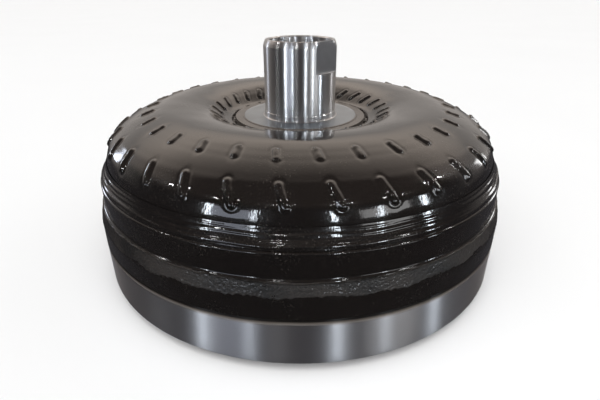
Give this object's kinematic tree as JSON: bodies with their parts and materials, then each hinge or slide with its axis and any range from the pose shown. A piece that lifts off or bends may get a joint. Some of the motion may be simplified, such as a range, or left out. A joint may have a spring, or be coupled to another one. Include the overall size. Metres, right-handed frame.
{
  "type": "torque converter",
  "caption": "Round welded torque converter with a machined front cover, domed impeller shell and a tubular pump hub with drive flats.",
  "frame": {"origin": "on the axis of rotation, in the face plane of the mounting pads that the part stands on", "axes": "+Z along the axis of rotation, from the mounting pads towards the pump hub; +X at right angles, -Y faces the camera side the drive flats are measured from"},
  "size_m": [0.31, 0.31, 0.1647],
  "materials": {
    "gloss_black_paint": "thick gloss black paint over welded steel; bare on the machined lower rim of the cover",
    "bare_steel": "turned and milled bare steel",
    "internal_steel": "pressed and machined steel, oiled",
    "bearing_steel": "hardened and ground",
    "cage_steel": "pressed steel",
    "paper_lining": "paper-based friction lining, matt",
    "ptfe_seal": "filled PTFE, matt",
    "phenolic": "moulded phenolic",
    "spring_steel": "oil-tempered wire and strip",
    "cast_aluminium": "die cast, machined bore"
  },
  "bodies": {
    "housing": {"front_cover": "gloss_black_paint", "mounting_pads": "bare_steel", "balance_weight": "bare_steel", "closure_weld": "gloss_black_paint", "impeller_shell": "gloss_black_paint", "impeller_blades": "internal_steel", "impeller_core": "internal_steel", "pump_hub": "bare_steel", "hub_weld": "gloss_black_paint", "backing_plate": "internal_steel", "snap_ring": "spring_steel", "pump_bearing_upper_race": "bearing_steel", "cover_bearing_lower_race": "bearing_steel"},
    "piston": {"lockup_piston": "internal_steel", "piston_outer_seal": "ptfe_seal", "piston_inner_seal": "ptfe_seal"},
    "steel_1": {"steel_plate_1": "internal_steel"},
    "steel_2": {"steel_plate_2": "internal_steel"},
    "turbine": {"turbine_shell": "internal_steel", "turbine_blades": "internal_steel", "turbine_core": "internal_steel", "turbine_hub": "internal_steel", "turbine_rivets": "internal_steel", "damper_flange": "internal_steel", "damper_flange_rivets": "internal_steel", "damper_springs": "spring_steel", "cover_bearing_upper_race": "bearing_steel", "stator_bearing_lower_race": "bearing_steel"},
    "damper_drive": {"clutch_hub": "internal_steel", "damper_front_plate": "internal_steel", "damper_spacers": "internal_steel"},
    "friction_1": {"friction_disc_1": "internal_steel", "friction_facings_1": "paper_lining"},
    "friction_2": {"friction_disc_2": "internal_steel", "friction_facings_2": "paper_lining"},
    "friction_3": {"friction_disc_3": "internal_steel", "friction_facings_3": "paper_lining"},
    "stator_race": {"stator_inner_race": "bearing_steel"},
    "stator": {"stator_wheel": "cast_aluminium", "clutch_outer_race": "bearing_steel", "clutch_rollers": "bearing_steel", "roller_springs": "spring_steel", "stator_lower_cap": "phenolic", "stator_upper_cap": "phenolic", "pump_bearing_lower_race": "bearing_steel", "stator_bearing_upper_race": "bearing_steel"},
    "pump_bearing_rollers": {"pump_bearing_cage": "cage_steel", "pump_bearing_needles": "bearing_steel"},
    "stator_bearing_rollers": {"stator_bearing_cage": "cage_steel", "stator_bearing_needles": "bearing_steel"},
    "cover_bearing_rollers": {"cover_bearing_cage": "cage_steel", "cover_bearing_needles": "bearing_steel"}
  },
  "joints": [
    {"name": "piston_apply", "type": "slide", "parent": "housing", "child": "piston", "axis": [0, 0, 1], "range_m": [0, 0.0018]},
    {"name": "steel_1_slide", "type": "slide", "parent": "housing", "child": "steel_1", "axis": [0, 0, 1], "range_m": [0, 0.0012]},
    {"name": "steel_2_slide", "type": "slide", "parent": "housing", "child": "steel_2", "axis": [0, 0, 1], "range_m": [0, 0.000601]},
    {"name": "turbine_spin", "type": "hinge", "parent": "housing", "child": "turbine", "pos_m": [0, 0, 0.058], "axis": [0, 0, 1], "continuous": true},
    {"name": "damper_twist", "type": "hinge", "parent": "turbine", "child": "damper_drive", "pos_m": [0, 0, 0.03525], "axis": [0, 0, 1], "range_deg": [-6, 6], "stiffness_Nm_per_rad": 600, "deforming": ["damper_springs"]},
    {"name": "friction_1_slide", "type": "slide", "parent": "damper_drive", "child": "friction_1", "axis": [0, 0, 1], "range_m": [0, 0.0015]},
    {"name": "friction_2_slide", "type": "slide", "parent": "damper_drive", "child": "friction_2", "axis": [0, 0, 1], "range_m": [0, 0.000901]},
    {"name": "friction_3_slide", "type": "slide", "parent": "damper_drive", "child": "friction_3", "axis": [0, 0, 1], "range_m": [0, 0.000301]},
    {"name": "stator_race_spin", "type": "hinge", "parent": "housing", "child": "stator_race", "pos_m": [0, 0, 0.082], "axis": [0, 0, 1], "continuous": true},
    {"name": "stator_spin", "type": "hinge", "parent": "stator_race", "child": "stator", "pos_m": [0, 0, 0.082], "axis": [0, 0, 1], "continuous": true},
    {"name": "pump_bearing_spin", "type": "hinge", "parent": "housing", "child": "pump_bearing_rollers", "pos_m": [0, 0, 0.0928], "axis": [0, 0, 1], "continuous": true},
    {"name": "stator_bearing_spin", "type": "hinge", "parent": "stator", "child": "stator_bearing_rollers", "pos_m": [0, 0, 0.0708], "axis": [0, 0, 1], "continuous": true},
    {"name": "cover_bearing_spin", "type": "hinge", "parent": "housing", "child": "cover_bearing_rollers", "pos_m": [0, 0, 0.0282], "axis": [0, 0, 1], "continuous": true}
  ],
  "couplings": [
    {"joint": "friction_1_slide", "follows": "piston_apply", "ratio": 0.83333},
    {"joint": "steel_1_slide", "follows": "piston_apply", "ratio": 0.66667},
    {"joint": "friction_2_slide", "follows": "piston_apply", "ratio": 0.5},
    {"joint": "steel_2_slide", "follows": "piston_apply", "ratio": 0.33333},
    {"joint": "friction_3_slide", "follows": "piston_apply", "ratio": 0.16667},
    {"joint": "pump_bearing_spin", "follows": "stator_race_spin", "ratio": 0.5},
    {"joint": "stator_bearing_spin", "follows": "turbine_spin", "ratio": 0.5},
    {"joint": "cover_bearing_spin", "follows": "turbine_spin", "ratio": 0.5}
  ]
}
